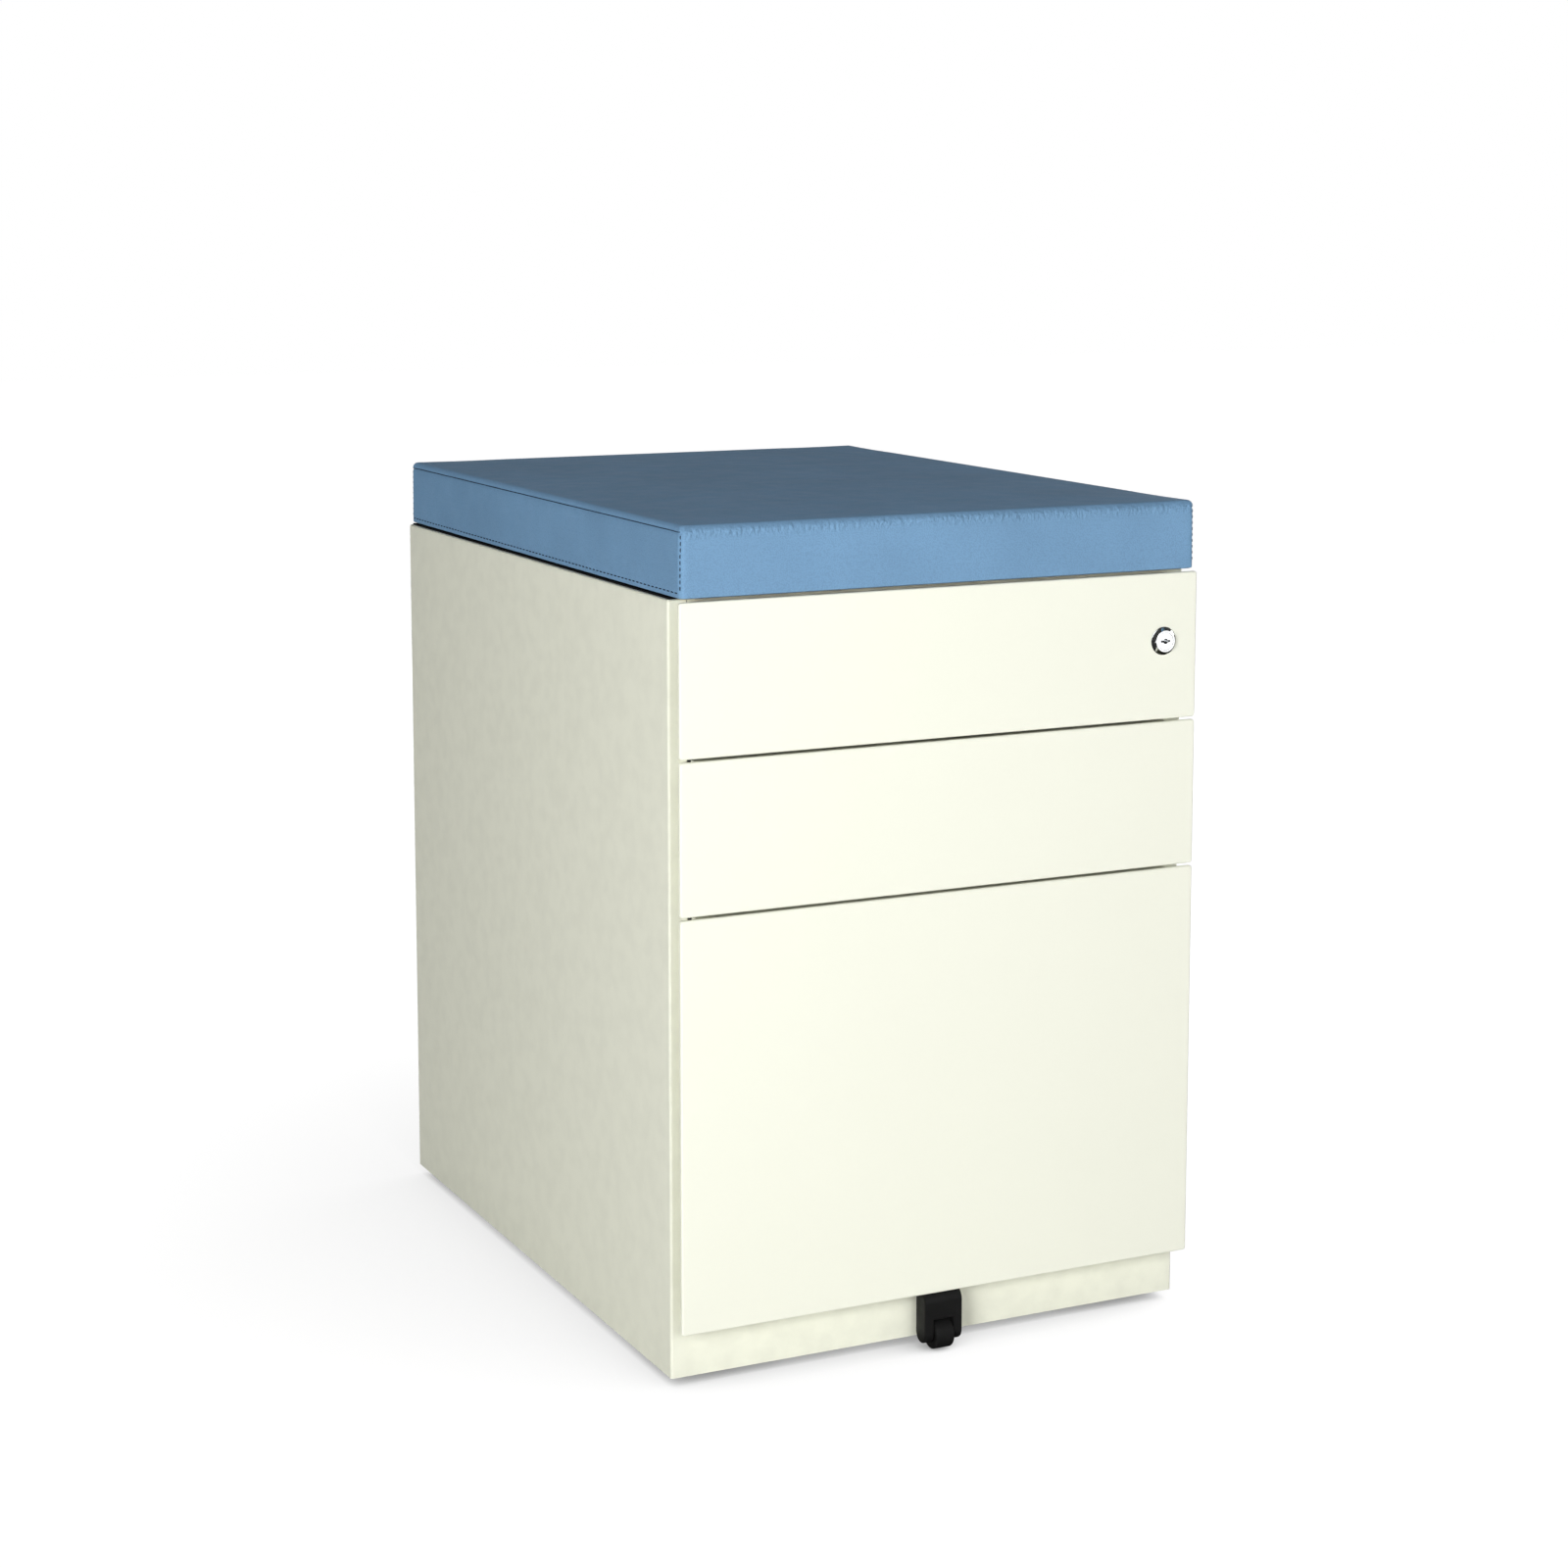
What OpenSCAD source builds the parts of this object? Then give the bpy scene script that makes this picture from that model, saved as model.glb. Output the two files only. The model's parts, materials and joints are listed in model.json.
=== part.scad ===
// Low mobile filing pedestal with a padded seat: a sheet-steel case on four hidden castors, two
// shallow drawers over one filing drawer, a central lock and a stabilising castor at the front.
// Origin on the floor under the middle of the object. +Z is up and the drawers open towards -Y.

/* [Case] */
// Width of the case and of the drawer fronts
case_w = 420; // [400:1:460]
// Depth of the case behind its front plane
case_d = 545; // [540:1:600]
// Height of the case's top above the floor
case_top = 568; // [560:1:600]
// Gap between the case's lower edge and the floor
skirt_gap = 8; // [6:1:10]
// Thickness of the case's sheet
sheet = 1; // [0.8:0.1:1.2]
// Width of the flange down each side of the case's front
stile_w = 15; // [14:1:16]
// Height of the case's inner floor above the ground
base_z = 46; // [46:1:48]
// Height of the rail across the top of the case's front
top_rail_h = 20; // [14:1:22]

/* [Drawer fronts] */
// Height of each of the two shallow fronts
shallow_front_h = 109.3; // [105:0.1:112]
// Height of the lowest front's lower edge above the ground
front_low = 45.8; // [44:0.1:48]
// Gap between neighbouring fronts
front_gap = 2; // [1.5:0.1:3]
// Distance from the case's front plane to the face of the fronts
front_stand = 20; // [18:1:22]
// Thickness of a front at its folded edges
front_edge = 3; // [2:0.5:4]
// Width of the finger gap behind each side edge of a front
finger_gap = 17; // [15:1:20]

/* [Drawer boxes] */
// Thickness of the drawer sheet
box_sheet = 1; // [0.8:0.1:1.2]
// Depth of the boxes behind the case's front plane
box_d = 500; // [496:1:510]
// Height of the two shallow boxes
shallow_box_h = 74; // [70:1:78]
// Height of the filing box
file_box_h = 266; // [250:1:270]
// Distance from the middle to each hanging-file rail
file_rail_x = 165; // [160:1:168]

/* [Slides] */
// Room for a slide between the box and the case
slide_room = 13; // [13:0.1:13.4]
// Length of every slide member
slide_len = 480; // [470:1:482]

/* [Lock] */
// Distance of the lock's centre from the right edge of the front
lock_inset = 29; // [29:0.5:31]
// Height of the lock's centre above the middle of the top front
lock_rise = 4.2; // [3:0.1:5]
// Radius of the lock's bezel at its foot
bezel_r = 10.5; // [9.5:0.1:11.5]
// How far the bezel stands proud of the front
lock_proud = 3.5; // [2:0.1:4]

/* [Seat pad] */
// Thickness of the pad
pad_h = 52.3; // [40:0.1:70]
// Gap between the case's top and the pad, filled by the grip mat
pad_gap = 1.2; // [1:0.1:4]
// How far the pad stays inside the sides of the case and the face of the fronts
pad_inset = 1; // [0.5:0.5:4]

/* [Castors] */
// Radius of the hidden castors' wheels
castor_r = 15; // [13:0.5:15]
// Distance from the middle to the castors on each side
castor_x = 160; // [150:1:162]
// Radius of the stabilising wheel under the filing drawer
tilt_wheel_r = 11.2; // [9:0.1:11.2]
// Width of the stabilising wheel
tilt_wheel_w = 15.6; // [12:0.1:17]

/* [Hidden] */
$fn = 64;
cut = 1; // how far a cutting shape runs past the surface it opens

// Colours
case_paint = "#E4E3D2";
front_paint = "#F6F6EA";
zinc = "#B9BCBE";
chrome = "#D5D8DA";
black_plastic = "#1E1E1F";
vinyl = "#7AA2C7";
plywood = "#C9A36B";
tyre_grey = "#3A3A3C";

// Case
half_w = case_w / 2;
front_y = -(case_d - front_stand - lock_proud) / 2; // the case's front plane
back_y = front_y + case_d;
stile_x = half_w - stile_w; // inner edge of the front flanges
stile_lip = 6;
plinth_lip = 10;
skirt_flange = 12;
back_flange = 12;
floor_z = base_z + sheet;
roof_z = case_top - sheet;
corner_r = 2; // corners of the fronts

// Drawers from the top: lower edge and height of each front, then its box
upper_z = case_top - shallow_front_h;
middle_z = upper_z - front_gap - shallow_front_h;
front_zs = [upper_z, middle_z, front_low];
front_hs = [shallow_front_h, shallow_front_h, middle_z - front_gap - front_low];
box_hs = [shallow_box_h, shallow_box_h, file_box_h];
box_lift = 7.5; // from a front's lower edge up to its box
face_y = front_y - front_stand;
front_sheet = 1;
liner_gap = 0.5; // between the closed drawers and the case
liner_sheet = 1;
liner_inset = 2; // above and below, inside the front's outline
liner_y = front_y - liner_gap;
liner_half = half_w - finger_gap;
box_half = stile_x - slide_room;
hem_w = 2;
hem_h = 4;

// Slides: each member is a C with a web and two flanges
rail_t = 1.2;
slide_hs = [35, 35, 45];
slide_rises = [19, 19, 46]; // from a box's floor up to the middle of its slide
slide_y = front_y + 12;
drawer_rail_y = front_y + 10;
shallow_travel = 400;
cage_t = 1;
cage_len = slide_len - shallow_travel - 2;
cage_y = slide_y + shallow_travel / 2;
ball_r = 2.35;
balls_per_row = 4;
post_w = 36;
post_t = 1.2;
post_foot = 10;
post_ys = [front_y + 50, front_y + 440];

// Lock, catches and lock bar
lock_x = half_w - lock_inset;
lock_z = upper_z + shallow_front_h / 2 + lock_rise;
barrel_r = 8.5;
plug_r = 6.5;
plug_sink = 0.15; // of the plug's face behind the bezel's
running_gap = 0.05;
barrel_end_y = front_y + 0.3;
cam_y = front_y + 0.9;
cam_t = 2;
cam_r = 9.5;
pin_r = 2;
pin_orbit = 7;
pin_end_y = front_y + 11;
pin_shift = pin_orbit * sin(45);
bar_x = half_w - 10;
bar_t = 2;
bar_ys = [front_y + 14, front_y + 26];
fork_ys = [front_y + 8, front_y + 9.5];
fork_slot_h = 5.2;
hook_ys = [front_y + 16, front_y + 18];
catch_ys = [front_y + 20, front_y + 22];
catch_h = 7;
catch_reach = 10;
hook_gap = 3; // under a catch while the lock is open
hook_h = 8;
hook_x = box_half + 4;
guide_zs = [middle_z - 5, upper_z + 1];
guide_h = 16;
guide_gap = 0.4;

// Castors
castor_ys = [front_y + 45, front_y + 500];
castor_trail = 12;
castor_plate_w = 46;
castor_plate_t = 2.5;
stem_r = 3.95;
axle_r = 3;

// Stabilising castor
tilt_y = front_y - 12.25;
tilt_z = tilt_wheel_r + 1.2;
hood_w = 31;
hood_ys = [front_y - 20, front_y - 5];
hood_r = (hood_ys[1] - hood_ys[0]) / 2;
hood_low = 6.8;
tilt_axle_r = 1.4;

function box_z(i) = front_zs[i] + box_lift;
function box_top(i) = box_z(i) + box_hs[i];
function slide_z(i) = box_z(i) + slide_rises[i];
function catch_z(i) = box_top(i) - catch_h;

// Block between two corners, given as a range along each axis
module block(x, y, z) {
  translate([x[0], y[0], z[0]])
    cube([x[1] - x[0], y[1] - y[0], z[1] - z[0]]);
}

module rod_x(x, y, z, r) {
  translate([x[0], y, z])
    rotate([0, 90, 0])
      cylinder(r = r, h = x[1] - x[0]);
}

module rod_y(x, y, z, r) {
  translate([x, y[0], z])
    rotate([-90, 0, 0])
      cylinder(r = r, h = y[1] - y[0]);
}

// Rectangle with round corners, centred
module round_rect(w, h, r) {
  square([w - 2 * r, h], center = true);
  square([w, h - 2 * r], center = true);
  for (x = [-1, 1], y = [-1, 1])
    translate([x * (w / 2 - r), y * (h / 2 - r)])
      circle(r = r);
}

module both_sides() {
  children();
  mirror([1, 0, 0])
    children();
}

// Right side of the case: outer sheet, front flange with its lip, and the flange under it
module side_sheet() {
  block([half_w - sheet, half_w], [front_y, back_y], [skirt_gap, case_top]);
  block([stile_x, half_w - sheet], [front_y, front_y + sheet], [skirt_gap, roof_z]);
  block([stile_x, stile_x + sheet], [front_y + sheet, front_y + stile_lip], [floor_z, roof_z]);
  block([half_w - skirt_flange, half_w - sheet], [front_y + sheet, back_y - sheet],
    [skirt_gap, skirt_gap + sheet]);
}

module left_side_panel() {
  color(case_paint)
    mirror([1, 0, 0])
      side_sheet();
}

module right_side_panel() {
  color(case_paint)
    side_sheet();
}

module top_panel() {
  color(case_paint) {
    block([-half_w + sheet, half_w - sheet], [front_y, back_y], [roof_z, case_top]);
    block([-stile_x, stile_x], [front_y, front_y + sheet], [case_top - top_rail_h, roof_z]);
    block([-stile_x, stile_x], [front_y + sheet, front_y + stile_lip],
      [case_top - top_rail_h, case_top - top_rail_h + sheet]);
  }
}

module back_panel() {
  color(case_paint) {
    block([-half_w + sheet, half_w - sheet], [back_y - sheet, back_y], [skirt_gap, roof_z]);
    both_sides()
      block([half_w - 2 * sheet, half_w - sheet], [back_y - back_flange, back_y - sheet],
        [floor_z, roof_z]);
  }
}

module base_panel() {
  color(case_paint)
    block([-half_w + sheet, half_w - sheet], [front_y + sheet, back_y - sheet],
      [base_z, floor_z]);
}

module front_plinth() {
  color(case_paint) {
    block([-stile_x, stile_x], [front_y, front_y + sheet], [skirt_gap, floor_z]);
    block([-stile_x, stile_x], [front_y + sheet, front_y + plinth_lip],
      [skirt_gap, skirt_gap + sheet]);
  }
}

// Hat-shaped post on the right side panel, which carries the slides
module slide_post(y) {
  block([stile_x, stile_x + post_t], [y, y + post_w], [floor_z, roof_z]);
  for (wall_y = [y, y + post_w - post_t])
    block([stile_x, half_w - sheet], [wall_y, wall_y + post_t], [floor_z, roof_z]);
  for (foot_y = [y - post_foot, y + post_w])
    block([half_w - sheet - post_t, half_w - sheet], [foot_y, foot_y + post_foot],
      [floor_z, roof_z]);
}

module left_slide_posts() {
  color(zinc)
    mirror([1, 0, 0])
      for (y = post_ys)
        slide_post(y);
}

module right_slide_posts() {
  color(zinc)
    for (y = post_ys)
      slide_post(y);
}

// C-shaped rail: its web's back face at x = web, its flanges reaching to x = lip
module rail(web, lip, y, z, h, t) {
  web_front = lip < web ? web - t : web + t;
  block([min(web, web_front), max(web, web_front)], y, [z - h / 2, z + h / 2]);
  for (low = [z - h / 2, z + h / 2 - t])
    block([min(web, lip), max(web, lip)], y, [low, low + t]);
}

// Rows of balls above and below the middle of a slide
module ball_rows(x, y, z, offset_z, r) {
  step = (y[1] - y[0]) / balls_per_row;
  for (side = [-1, 1], n = [0 : balls_per_row - 1])
    translate([x, y[0] + (n + 0.5) * step, z + side * offset_z])
      sphere(r = r, $fn = 24);
}

module cabinet_rails(i) {
  color(zinc)
    both_sides()
      rail(stile_x, box_half + 1.8, [slide_y, slide_y + slide_len], slide_z(i), slide_hs[i],
        rail_t);
}

module drawer_rails(i, h, reach) {
  color(zinc)
    both_sides()
      rail(box_half, box_half + reach, [drawer_rail_y, drawer_rail_y + slide_len], slide_z(i),
        h, rail_t);
}

module upper_cabinet_rails() {
  cabinet_rails(0);
}

module middle_cabinet_rails() {
  cabinet_rails(1);
}

module lower_cabinet_rails() {
  cabinet_rails(2);
}

module upper_drawer_rails() {
  drawer_rails(0, 22, 9);
}

module middle_drawer_rails() {
  drawer_rails(1, 22, 9);
}

module lower_drawer_rails() {
  drawer_rails(2, 24.4, 6.8);
}

// Ball cage between the two members of a shallow drawer's slide
module ball_cages(i) {
  cage_ys = [cage_y, cage_y + cage_len];
  color(chrome)
    both_sides() {
      rail(stile_x - 2.1, box_half + 4, cage_ys, slide_z(i), 28.3, cage_t);
      ball_rows(box_half + 6.5, cage_ys, slide_z(i), 13.65, ball_r);
    }
}

module upper_ball_cages() {
  ball_cages(0);
}

module middle_ball_cages() {
  ball_cages(1);
}

// Middle member of the filing drawer's full-extension slides, with its two races of balls
module lower_intermediate_rails() {
  rail_ys = [slide_y - 1, slide_y - 1 + slide_len];
  color(zinc)
    both_sides() {
      rail(stile_x - 3.5, box_half + 2.2, rail_ys, slide_z(2), 36.4, rail_t);
      ball_rows(box_half + 6.5, rail_ys, slide_z(2), 19.45, 1.5);
      ball_rows(box_half + 4.5, rail_ys, slide_z(2), 15.1, 2.1);
    }
}

// Plastic guide on the right side panel that holds the lock bar and lets it slide up
module lock_bar_guides() {
  lip_x = bar_x - guide_gap;
  arm_ys = [bar_ys[0] - guide_gap, bar_ys[1] + guide_gap];
  arm_t = 2.6;
  lip_t = 1.1;
  color(black_plastic)
    for (z = guide_zs) {
      block([bar_x + bar_t + guide_gap, half_w - sheet], [arm_ys[0] - arm_t, arm_ys[1] + arm_t],
        [z, z + guide_h]);
      for (y = [arm_ys[0] - arm_t, arm_ys[1]])
        block([lip_x - lip_t, bar_x + bar_t + guide_gap], [y, y + arm_t], [z, z + guide_h]);
      for (y = [arm_ys[0], arm_ys[1] - arm_t])
        block([lip_x - lip_t, lip_x], [y, y + arm_t], [z, z + guide_h]);
    }
}

// Lock bar: a strip with a fork for the cam's pin and one hook under each drawer's catch
module lock_bar() {
  pin_z = lock_z - pin_shift;
  fork_zs = [pin_z - 8, pin_z + 8];
  bar_xs = [bar_x, bar_x + bar_t];
  color(zinc) {
    block(bar_xs, bar_ys, [catch_z(2) - hook_gap - hook_h - 5, catch_z(0) - hook_gap]);
    block(bar_xs, [fork_ys[0], bar_ys[0]], fork_zs);
    difference() {
      block([lock_x + 2, bar_xs[1]], fork_ys, fork_zs);
      block([lock_x, lock_x + pin_orbit + pin_r + 1], [fork_ys[0] - cut, fork_ys[1] + cut],
        [pin_z - fork_slot_h / 2, pin_z + fork_slot_h / 2]);
    }
    for (i = [0 : 2])
      block([hook_x, bar_xs[1]], hook_ys,
        [catch_z(i) - hook_gap - hook_h, catch_z(i) - hook_gap]);
  }
}

// Front skin: a folded tray with its open side to the back
module drawer_front(i) {
  tray_w = case_w - 2 * front_sheet;
  tray_h = front_hs[i] - 2 * front_sheet;
  translate([0, face_y + front_edge, front_zs[i] + front_hs[i] / 2])
    rotate([90, 0, 0])
      difference() {
        linear_extrude(front_edge)
          round_rect(case_w, front_hs[i], corner_r);
        translate([0, 0, -cut])
          linear_extrude(front_edge - front_sheet + cut)
            round_rect(tray_w, tray_h, corner_r - front_sheet);
      }
}

// Liner behind a front skin: a tray with its open side to the front
module drawer_liner(i) {
  z = [front_zs[i] + liner_inset, front_zs[i] + front_hs[i] - liner_inset];
  tray_y = face_y + front_edge;
  difference() {
    block([-liner_half, liner_half], [tray_y, liner_y], z);
    block([-liner_half + liner_sheet, liner_half - liner_sheet],
      [tray_y - cut, liner_y - liner_sheet], [z[0] + liner_sheet, z[1] - liner_sheet]);
  }
}

// Open drawer box with a hem along the top of each side
module drawer_box(i) {
  inner = box_half - box_sheet;
  y = [liner_y, front_y + box_d];
  color(zinc) {
    difference() {
      block([-box_half, box_half], y, [box_z(i), box_top(i)]);
      block([-inner, inner], [y[0] + box_sheet, y[1] - box_sheet],
        [box_z(i) + box_sheet, box_top(i) + cut]);
    }
    both_sides()
      block([inner - hem_w, inner], [y[0] + box_sheet, y[1] - box_sheet],
        [box_top(i) - hem_h, box_top(i)]);
  }
}

// Catch on the right side of a box: a foot on the box and a tab that the lock bar's hook holds
module catch_bracket(i) {
  z = [catch_z(i), box_top(i)];
  color(zinc) {
    block([box_half, box_half + 1.2], [catch_ys[0], catch_ys[0] + 20], z);
    block([box_half, box_half + catch_reach], catch_ys, z);
  }
}

module upper_front() {
  color(front_paint)
    difference() {
      drawer_front(0);
      rod_y(lock_x, [face_y - cut, face_y + front_edge + cut], lock_z, barrel_r + 0.1);
    }
}

module middle_front() {
  color(front_paint)
    drawer_front(1);
}

module lower_front() {
  color(front_paint)
    drawer_front(2);
}

module upper_front_liner() {
  color(case_paint)
    difference() {
      drawer_liner(0);
      rod_y(lock_x, [liner_y - liner_sheet - cut, liner_y + cut], lock_z, barrel_r + 2);
    }
}

module middle_front_liner() {
  color(case_paint)
    drawer_liner(1);
}

module lower_front_liner() {
  color(case_paint)
    drawer_liner(2);
}

// Top box, cut away round the lock's cam at its front right corner
module upper_box() {
  pocket = 14;
  difference() {
    drawer_box(0);
    color(zinc)
      block([lock_x - pocket, box_half + cut], [liner_y - cut, front_y + pocket],
        [lock_z - pocket, lock_z + pocket]);
  }
}

module middle_box() {
  drawer_box(1);
}

module lower_box() {
  drawer_box(2);
}

module upper_catch() {
  catch_bracket(0);
}

module middle_catch() {
  catch_bracket(1);
}

module lower_catch() {
  catch_bracket(2);
}

// Two strips along the filing box for hanging files, each with an outward tab at both ends
module file_rails() {
  y = [liner_y + box_sheet, front_y + box_d - box_sheet];
  z = [box_top(2) - 20, box_top(2) - 5];
  strip_half = 1;
  tab_reach = 7;
  tab_t = 1;
  color(zinc)
    both_sides() {
      block([file_rail_x - strip_half, file_rail_x + strip_half], y, z);
      for (tab_y = [y[0], y[1] - tab_t])
        block([file_rail_x - strip_half, file_rail_x + tab_reach], [tab_y, tab_y + tab_t], z);
    }
}

// Lock: tapered bezel with a flat face and a threaded barrel, clamped to the front by the nut
module lock_housing() {
  bezel_y = face_y - lock_proud;
  foot_t = 0.6;
  bezel_face_r = 8.3;
  color(chrome)
    difference() {
      union() {
        rod_y(lock_x, [face_y - foot_t, face_y], lock_z, bezel_r);
        translate([lock_x, bezel_y, lock_z])
          rotate([-90, 0, 0])
            cylinder(r1 = bezel_face_r, r2 = bezel_r - foot_t, h = lock_proud - foot_t);
        rod_y(lock_x, [face_y, barrel_end_y], lock_z, barrel_r);
      }
      rod_y(lock_x, [bezel_y - cut, barrel_end_y + cut], lock_z, plug_r + running_gap);
    }
}

module lock_nut() {
  nut_y = face_y + front_sheet;
  nut_flats = 21;
  nut_t = 5;
  color(zinc)
    difference() {
      translate([lock_x, nut_y, lock_z])
        rotate([-90, 30, 0])
          cylinder(r = nut_flats / 2 / cos(30), h = nut_t, $fn = 6);
      rod_y(lock_x, [nut_y - cut, nut_y + nut_t + cut], lock_z, barrel_r + running_gap);
    }
}

// Lock plug, shown with its keyway level, which is the open position
module lock_plug() {
  plug_y = face_y - lock_proud + plug_sink;
  key_half_w = 4;
  key_half_h = 0.8;
  key_depth = 12;
  color(chrome)
    difference() {
      rod_y(lock_x, [plug_y, cam_y], lock_z, plug_r);
      block([lock_x - key_half_w, lock_x + key_half_w], [plug_y - cut, plug_y + key_depth],
        [lock_z - key_half_h, lock_z + key_half_h]);
      rod_y(lock_x, [plug_y - cut, plug_y + key_depth], lock_z, 2);
    }
}

// Cam on the plug's end, with the pin that lifts the lock bar
module lock_cam() {
  color(zinc) {
    rod_y(lock_x, [cam_y, cam_y + cam_t], lock_z, cam_r);
    rod_y(lock_x + pin_shift, [cam_y, pin_end_y], lock_z - pin_shift, pin_r);
  }
}

module lock_cam_screw() {
  color(zinc)
    rod_y(lock_x, [cam_y + cam_t, cam_y + cam_t + 2], lock_z, 3.2);
}

// Plates that carry the hidden castors under the case's floor
module castor_plates() {
  half = castor_plate_w / 2;
  color(zinc)
    for (side = [-1, 1], y = castor_ys)
      difference() {
        block([side * castor_x - half, side * castor_x + half], [y - half, y + half],
          [base_z - castor_plate_t, base_z]);
        translate([side * castor_x, y, base_z - castor_plate_t - cut])
          cylinder(r = stem_r + running_gap, h = castor_plate_t + 2 * cut);
      }
}

module castor_screws() {
  head_h = 1.8;
  from_stem = castor_plate_w / 2 - 5;
  color(zinc)
    for (side = [-1, 1], y = castor_ys, dx = [-1, 1], dy = [-1, 1])
      translate([side * castor_x + dx * from_stem, y + dy * from_stem,
          base_z - castor_plate_t - head_h])
        cylinder(r = 3, h = head_h);
}

// Swivelling frame of a twin-wheel castor: stem, round head and the web between the wheels
module castor_frame(x, y) {
  head_z = base_z - castor_plate_t - 0.3;
  head_t = 5.2;
  web_half = 2.5;
  web_r = castor_r - 2;
  wheel_y = y + castor_trail;
  color(black_plastic)
    difference() {
      union() {
        translate([x, y, head_z - head_t])
          cylinder(r = castor_plate_w / 2 - 10, h = head_t);
        translate([x, y, head_z])
          cylinder(r = stem_r, h = base_z - 0.2 - head_z);
        block([x - web_half, x + web_half], [y - 6, wheel_y + 8], [castor_r, head_z - head_t]);
        rod_x([x - web_half, x + web_half], wheel_y, castor_r, web_r);
      }
      rod_x([x - web_half - cut, x + web_half + cut], wheel_y, castor_r, axle_r + running_gap);
    }
}

// The castor's two wheels on their axle
module castor_wheels(x, y) {
  inner = 3.5;
  outer = 12.5;
  wheel_y = y + castor_trail;
  color(tyre_grey) {
    rod_x([x - inner - cut, x + inner + cut], wheel_y, castor_r, axle_r);
    for (side = [-1, 1])
      difference() {
        rod_x([x + min(side * inner, side * outer), x + max(side * inner, side * outer)],
          wheel_y, castor_r, castor_r);
        rod_x([x + min(side * 10.5, side * 13), x + max(side * 10.5, side * 13)], wheel_y,
          castor_r, castor_r - 4);
      }
  }
}

module front_left_castor_frame() {
  castor_frame(-castor_x, castor_ys[0]);
}

module front_left_castor_wheels() {
  castor_wheels(-castor_x, castor_ys[0]);
}

module front_right_castor_frame() {
  castor_frame(castor_x, castor_ys[0]);
}

module front_right_castor_wheels() {
  castor_wheels(castor_x, castor_ys[0]);
}

module rear_left_castor_frame() {
  castor_frame(-castor_x, castor_ys[1]);
}

module rear_left_castor_wheels() {
  castor_wheels(-castor_x, castor_ys[1]);
}

module rear_right_castor_frame() {
  castor_frame(castor_x, castor_ys[1]);
}

module rear_right_castor_wheels() {
  castor_wheels(castor_x, castor_ys[1]);
}

// Hood of the stabilising castor, hung by a tongue from the filing drawer's liner
module tilt_castor_hood() {
  x = [-hood_w / 2, hood_w / 2];
  y = hood_ys;
  top_z = front_zs[2] + liner_inset;
  shoulder_r = 9;
  shoulder_z = 37.5;
  tongue_ys = [y[0] + 8, y[1]];
  slot_half = tilt_wheel_w / 2 + 0.5;
  slot_z = tilt_z + tilt_wheel_r + 1.8;
  color(black_plastic)
    difference() {
      union() {
        rod_x(x, (y[0] + y[1]) / 2, hood_low + hood_r, hood_r);
        block(x, y, [hood_low + hood_r, shoulder_z]);
        intersection() {
          block(x, y, [shoulder_z, front_low - 0.4]);
          rod_x(x, y[0] + shoulder_r, shoulder_z, shoulder_r);
        }
        block(x, tongue_ys, [shoulder_z, top_z]);
      }
      block([-slot_half, slot_half], [y[0] - cut, y[1] + cut], [hood_low - cut, slot_z]);
      rod_x([-hood_w, hood_w], tilt_y, tilt_z, tilt_axle_r);
    }
}

module tilt_castor_axle() {
  color(zinc)
    rod_x([-hood_w / 2 + 1, hood_w / 2 - 1], tilt_y, tilt_z, tilt_axle_r);
}

module tilt_castor_wheel() {
  color(tyre_grey)
    difference() {
      rod_x([-tilt_wheel_w / 2, tilt_wheel_w / 2], tilt_y, tilt_z, tilt_wheel_r);
      rod_x([-tilt_wheel_w, tilt_wheel_w], tilt_y, tilt_z, tilt_axle_r + running_gap);
    }
}

// Seat pad: foam in its cover over a board, on a grip mat
module seat_cushion() {
  pad_z = case_top + pad_gap;
  pad_ys = [face_y + pad_inset, back_y];
  pad_corner_r = 10;
  color(vinyl)
    difference() {
      translate([0, (pad_ys[0] + pad_ys[1]) / 2, pad_z])
        linear_extrude(pad_h)
          round_rect(case_w - 2 * pad_inset, pad_ys[1] - pad_ys[0], pad_corner_r);
      pad_recess();
    }
}

// Room for the board in the pad's underside
module pad_recess() {
  inset = 9;
  board_t = 9;
  pad_z = case_top + pad_gap;
  recess_half = half_w - pad_inset - inset;
  block([-recess_half, recess_half], [face_y + pad_inset + inset, back_y - inset],
    [pad_z, pad_z + board_t]);
}

module seat_board() {
  color(plywood)
    pad_recess();
}

module seat_grip_mat() {
  inset = 2;
  color(black_plastic)
    block([-half_w + inset, half_w - inset], [front_y + inset, back_y - inset],
      [case_top, case_top + pad_gap]);
}

left_side_panel();
right_side_panel();
top_panel();
back_panel();
base_panel();
front_plinth();
left_slide_posts();
right_slide_posts();
upper_cabinet_rails();
middle_cabinet_rails();
lower_cabinet_rails();
lock_bar_guides();
castor_plates();
castor_screws();
seat_cushion();
seat_board();
seat_grip_mat();
lock_bar();
upper_front();
upper_front_liner();
upper_box();
upper_drawer_rails();
upper_catch();
lock_housing();
lock_nut();
lock_plug();
lock_cam();
lock_cam_screw();
upper_ball_cages();
middle_front();
middle_front_liner();
middle_box();
middle_drawer_rails();
middle_catch();
middle_ball_cages();
lower_front();
lower_front_liner();
lower_box();
lower_drawer_rails();
lower_catch();
lower_intermediate_rails();
file_rails();
tilt_castor_hood();
tilt_castor_axle();
tilt_castor_wheel();
front_left_castor_frame();
front_left_castor_wheels();
front_right_castor_frame();
front_right_castor_wheels();
rear_left_castor_frame();
rear_left_castor_wheels();
rear_right_castor_frame();
rear_right_castor_wheels();
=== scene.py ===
"""Looks of the mobile filing pedestal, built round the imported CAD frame. Lengths are in metres."""
import json
import math

import bmesh
import bpy
from mathutils import Matrix, Vector
from mathutils.bvhtree import BVHTree
from mathutils.kdtree import KDTree


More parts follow.
